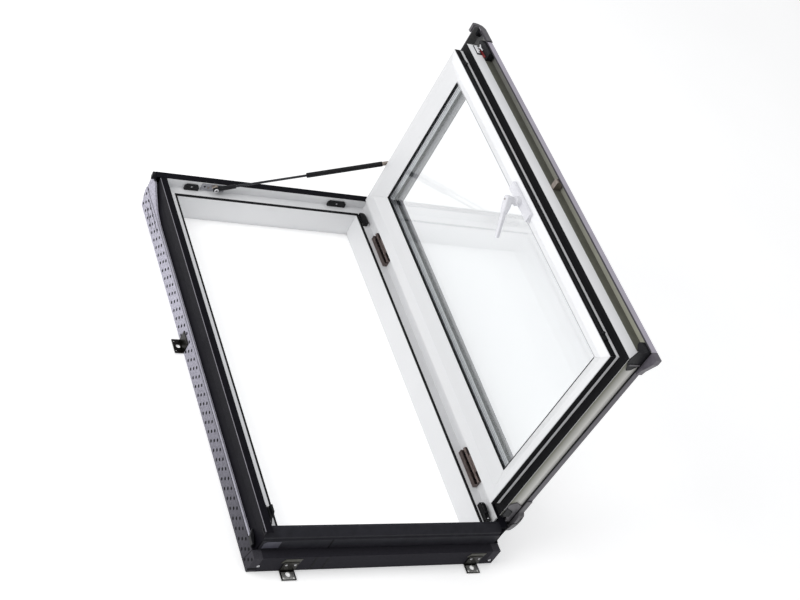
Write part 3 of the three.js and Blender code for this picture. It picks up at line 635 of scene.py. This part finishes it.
# End cap that closes the hood and the lip at the top corner
CAP = [
    (1104, 176), (1104, 194.2), (1158, 194.4), (1170, 188), (1176.5, 177), (1178.5, 166),
    (1177, 157.5), (1168, 157.5), (1165, 176),
]
prism("top_corner_cap", CAP, (0.0, 2.4), on_free_face, GREY_END, "sash", 1.2)
SEAM = [(1101, 175.4), (1103.8, 175.4), (1103.8, 194.6), (1101, 194.6)]
prism("top_corner_seam", SEAM, (0.0, 2.0), on_free_face, SHADOW, "sash", 0.6)
CAP_HOOD = [
    (1167.2, 157.5), (1176.5, 157.5), (1178, 166), (1176, 177), (1169.5, 188), (1160, 194.2),
    (1160, 193.2), (1167.2, 186),
]
prism("top_corner_hood", CAP_HOOD, (-357.4, -334.0), across_sash, GREY_END, "sash", 0.8)

# Corner closers of the lower edge
CHANNEL = [(-354.6, -12.8), (-330.0, -11.2), (-330.0, 14), (-338, 24), (-346, 26), (-352, 20), (-354.6, 8)]
prism("bottom_free_closer", CHANNEL, (166.0, 188.0), on_sash, BLACK_PLASTIC, "sash", 1.2)
FREE_FLANGE = [
    (-354, 138), (-331, 131.5), (-318, 131.5), (-300, 140), (-288, 146), (-290, 158), (-306, 173),
    (-354, 173),
]
prism("bottom_free_flange_cap", FREE_FLANGE, (-14.4, -11.6), up_sash, BLACK_PLASTIC, "sash", 0.8)
RIB = [(-312, 142), (-307, 140), (-307, 172), (-312, 172)]
prism("bottom_free_rib", RIB, (-16.2, -14.4), up_sash, GREY_END, "sash", 0.5)
HINGE_FLANGE = [
    (247, 152), (254, 136), (266, 131.5), (282, 133), (318, 158), (330, 160), (330, 174), (262, 174),
]
prism("bottom_hinge_flange_cap", HINGE_FLANGE, (-14.4, -11.6), up_sash, GREY_END, "sash", 0.8)
POST = [(268, 131.5), (305.5, 131.5), (305.5, 157), (284, 157), (278, 146)]
prism("bottom_hinge_post", POST, (-17.0, -14.5), up_sash, BLACK_PLASTIC, "sash", 0.8)
NOSE = [
    (238, -15.6), (238, -18.0), (284, -18.4), (289, -25.5), (296, -27.5), (310, -28.6), (326, -27.8),
    (342, -25.6), (356, -22.4), (366, -19.0), (366, -15.6),
]
hood = prism("bottom_hinge_hood", NOSE, (175.5, 193.2), on_sash, GREY_END, "sash", 2.0)
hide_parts("corner_cap_bottom_hinge")
HOOD_SLOT = [(296, 188), (300, 189.4), (321, 186), (324, 167), (321.5, 167), (319, 184)]
prism("bottom_hinge_hood_slot", HOOD_SLOT, (-28.9, -27.6), up_sash, SHADOW, "sash", 0.2)

# Catch details on the corner lock, and the clip in the free channel
CLIP_BACK = [(1074, 148), (1112, 148), (1112, 164), (1074, 164)]
prism("corner_clip_back", CLIP_BACK, (-330.6, -329.1), across_sash, BLACK_PLASTIC, "sash", 0.6)
CLIP = [
    (1078, 150), (1108, 150), (1108, 158), (1100, 162), (1096, 155), (1090, 162), (1084, 155),
    (1078, 158),
]
prism("corner_clip", CLIP, (-333.0, -330.7), across_sash, PALE, "sash", 0.6)
LOCK_NOSE = [(-352, 1100.2), (-334, 1100.2), (-334, 1114), (-342, 1122), (-352, 1112)]
prism("corner_lock_nose", LOCK_NOSE, (166.2, 183.8), on_sash, BLACK_PLASTIC, "sash", 1.0)
PAWL = [(-337.5, 1057), (-329.6, 1062), (-329.2, 1080), (-331.5, 1098), (-336, 1080)]
prism("corner_pawl", PAWL, (163.2, 165.9), on_sash, RED, "sash", 0.6)
SPRING = [
    (-339.5, 1084), (-337, 1084), (-334.5, 1096), (-330.5, 1102), (-332, 1106), (-337, 1102), (-340, 1107),
    (-342, 1105), (-338.5, 1097),
]
prism("corner_spring", SPRING, (163.6, 165.9), on_sash, PALE, "sash")
CLIP_ARM = [(-352, 548), (-346, 546), (-340, 551), (-334, 549), (-334, 560), (-342, 563), (-352, 560)]
prism("channel_clip_arm", CLIP_ARM, (186.0, 189.0), on_sash, ZINC, "sash", 0.8)


# ---------------------------------------------------------------- frame details
RIDGE_HIGHLIGHT = (plain_finish("ridge_painted_highlight", (0.17, 0.165, 0.19), 0.3), "cladding")
FOAM_RIM_HIGHLIGHT = (plain_finish("foam_rim_painted_highlight", (0.56, 0.55, 0.63), 0.8, 0.15, 0.12), "foam")
BLUE_PAD = (plain_finish("blue_grey_pad", (0.055, 0.055, 0.075), 0.42), "cladding")
OLIVE_PLATE = (plain_finish("olive_plate", (0.035, 0.034, 0.024), 0.5), "carrier")
FOAM_FACE = (-354.6, -353.6)  # X just outside and inside the face of the left foam


def along_jamb(u, v, w):
    """u to the left of the left jamb's inner face and v outward, drawn out up the slope."""
    jamb_face = -293.0
    return on_frame(jamb_face - u, w, v)


def on_front(u, v, w):
    """u across and v outward on the front of the sill, drawn out away from it."""
    sill_front = -47.5
    return on_frame(u, sill_front - w, v)


# Left side and head
# A thin pale strip on the bend of the jamb's black cladding: a painted highlight where the bend catches the
# light.
RIDGE = [(51.4, 128.3), (52.6, 128.1), (53.0, 127.0), (52.2, 126.4)]
prism("jamb_ridge", RIDGE, (-44.0, 1132.0), along_jamb, RIDGE_HIGHLIGHT, "frame", 0.2)
# A pale strip along the foam's ledge below the cladding: a painted highlight on the lit edge.
RIM = [(53.2, 59.2), (60.6, 59.2), (60.6, 60.6), (53.6, 60.6)]
prism("foam_rim", RIM, (-9.0, 1150.0), along_jamb, FOAM_RIM_HIGHLIGHT, "frame")
RIM_GROOVE = [(55.6, 60.7), (56.6, 60.7), (56.6, 61.3), (55.6, 61.3)]
prism("foam_rim_groove", RIM_GROOVE, (-9.0, 1010.0), along_jamb, SHADOW, "frame", 0.1)
UPPER_SLOT = [(1000, 40), (1120, 47), (1120, 49), (1000, 42)]
prism("foam_slot", UPPER_SLOT, FOAM_FACE, across_frame, SHADOW, "frame", 0.2)
LOWER_SLOT = [(1040, 14), (1118, 24), (1118, 26), (1040, 16)]
prism("foam_slot_low", LOWER_SLOT, FOAM_FACE, across_frame, SHADOW, "frame", 0.2)
BLOCK = [(-364, 1148), (-350, 1148), (-350, 1162), (-360, 1162)]
prism("head_corner_block", BLOCK, (105.0, 123.0), on_frame, BLACK_PLASTIC, "frame", 1.2)
RISER = [(1010, 61.4), (1168, 61.4), (1168, 104), (1136, 104), (1112, 90), (1060, 68)]
prism("foam_corner_riser", RISER, (-353.6, -346.8), across_frame, FOAM, "frame", 1.0)
CORNER_KEY = [(-357, -16), (-346.2, 4), (-346.2, -14), (-353.6, -40), (-358, -40)]
prism("jamb_corner_key", CORNER_KEY, (60.8, 74.0), on_frame, BLACK_PLASTIC, "frame", 0.8)
FOAM_SEAM = [(-39, 2), (-37, 2), (-46, 55.5), (-48, 55.5)]
prism("foam_corner_seam", FOAM_SEAM, (-354.5, -353.8), across_frame, SHADOW, "frame", 0.1)

# Front of the sill
PAD = [(-334, 66), (-290, 66), (-290, 91), (-326, 91), (-334, 84)]
prism("sill_pad", PAD, (0.0, 1.4), on_front, BLUE_PAD, "frame", 0.6)
ZIGZAG = [
    (-347, -30), (-343, -22), (-337, -34), (-331, -20), (-327, -22), (-335, -44), (-341, -32),
    (-345, -46),
]
prism("sill_corner_key", ZIGZAG, (115.6, 118.4), on_frame, BLACK_PLASTIC, "frame", 0.5)
for side, x, z in (("left", -331, 24), ("right", 340, 16)):
    screw(f"foam_screw_{side}", on_frame(x, -70.6, z), DOWN_SLOPE, 4.2, "frame")
for index, start in enumerate((-187.0, -153.0)):
    groove = [(start, 1), (start + 5, 1), (start + 5, 55.5), (start, 55.5)]
    prism(f"foam_groove_{index}", groove, (22.9, 23.5), on_front, SHADOW, "frame", 0.2)
COVER_JOINT = [(-153, 58), (-149.5, 58), (-149.5, 93), (-153, 93)]
prism("sill_cover_joint", COVER_JOINT, (-0.3, 0.4), on_front, SHADOW, "frame", 0.1)
for index, middle in enumerate((LEFT_BRACKET, RIGHT_BRACKET)):
    plate = [(middle - 28, 34), (middle + 22, 34), (middle + 26, 50), (middle - 20, 50)]
    prism(f"bracket_backing_{index}", plate, (23.0, 24.4), on_front, OLIVE_PLATE, "frame", 0.5)
    for letter, shift in (("a", -12), ("b", 12)):
        spot = on_frame(middle + shift, -73.4, 28)
        screw(f"sill_bracket_screw_{letter}_{index}", spot, DOWN_SLOPE, 3.2, "frame")


# ---------------------------------------------------------------- lever
ROOM_SIDE = Vector((-1, 0, 0))  # out of the open sash's room-side face
LEVER_HUB = (-276.0, 547.0)
LEVER_TILT = math.radians(-27)
LEVER_ROUNDING = 0.42  # 1 makes the sections elliptical, 0 makes them rectangular
LEVER_SECTIONS = [
    # along, half width, room-side face, sash-side face
    (-12.0, 4.0, 50.0, 62.0), (-11.0, 8.0, 47.5, 65.0), (-7.0, 10.0, 46.4, 66.0), (6.0, 10.4, 46.0, 66.0),
    (20.0, 10.0, 46.0, 65.0), (30.0, 8.6, 46.4, 62.5), (34.0, 7.5, 47.0, 61.0), (36.0, 6.5, 48.6, 59.6),
    (60.0, 6.2, 48.8, 59.2), (97.0, 5.6, 49.2, 58.6), (100.5, 4.5, 50.2, 57.6),
]


def on_lever(along, across, z):
    """A point of the lever: along its arm from the hub, across the arm, and at z outward."""
    x = along * math.cos(LEVER_TILT) - across * math.sin(LEVER_TILT)
    y = along * math.sin(LEVER_TILT) + across * math.cos(LEVER_TILT)
    return on_sash(LEVER_HUB[0] + x, LEVER_HUB[1] + y, z)


def lever_piece():
    """Lofts rounded sections from the hub to the end of the grip."""
    bm = bmesh.new()
    rings = []
    count = 20
    for along, half, near, far in LEVER_SECTIONS:
        ring = []
        for k in range(count):
            angle = 2 * math.pi * k / count
            cosine, sine = math.cos(angle), math.sin(angle)
            across = half * math.copysign(abs(cosine) ** LEVER_ROUNDING, cosine)
            z = (near + far) / 2 + (far - near) / 2 * math.copysign(abs(sine) ** LEVER_ROUNDING, sine)
            ring.append(bm.verts.new(on_lever(along, across, z)))
        rings.append(ring)
    skin(bm, rings)
    return make_piece("lever_arm", bm, WHITE_ENAMEL, "lever")


arm = lever_piece()
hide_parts("handle_lever")
NECK = [(0, 10.4), (8, 10.4), (10, 10.0), (16, 10.0), (17.5, 11.6), (18.6, 12.2), (18.7, 0)]
turned("lever_neck", NECK, on_sash(*LEVER_HUB, 60), -ROOM_SIDE, WHITE_ENAMEL, "lever", 28)
screw("lever_key", on_lever(-2.0, 0, 46.1), ROOM_SIDE, 2.2, "lever", ZINC)


# ---------------------------------------------------------------- floor and light
def make_floor():
    """A wide pale floor, just under the frame."""
    half, drop = 40.0, 0.002
    mesh = bpy.data.meshes.new("floor")
    corners = [(-half, -half, 0), (half, -half, 0), (half, half, 0), (-half, half, 0)]
    mesh.from_pydata(corners, [], [(0, 1, 2, 3)])
    floor = bpy.data.objects.new("floor", mesh)
    floor.location.z = -drop
    scene.collection.objects.link(floor)
    made = Maker("pale_floor", (0.95, 0.95, 0.95), 0.9)
    made.color(made.clouds((0.94, 0.94, 0.94), (0.96, 0.96, 0.96), 0.6, 2.0))
    made.bsdf.inputs["Emission Color"].default_value = (1, 1, 1, 1)
    made.bsdf.inputs["Emission Strength"].default_value = 0.3
    paint(floor, made.mat)


def area_light(name, place, target, size, power):
    """A round lamp at place, turned to target, with its power in watts."""
    data = bpy.data.lights.new(name, "AREA")
    data.shape = "DISK"
    data.size = size
    data.energy = power
    lamp = bpy.data.objects.new(name, data)
    lamp.location = place
    lamp.rotation_euler = (Vector(target) - Vector(place)).to_track_quat("-Z", "Y").to_euler()
    scene.collection.objects.link(lamp)


make_floor()
area_light("key_light", (-3.4, 0.4, 2.6), (0, 0.5, 0.1), 2.6, 80)
area_light("sky_light", (0.6, 1.6, 4.4), (0, 0.5, 0.2), 3.0, 22)
world = bpy.data.worlds.new("studio")
world.use_nodes = True
background = world.node_tree.nodes["Background"]
background.inputs["Color"].default_value = (0.985, 0.99, 1.0, 1)
background.inputs["Strength"].default_value = 0.6
scene.world = world
scene.view_settings.view_transform = "Standard"
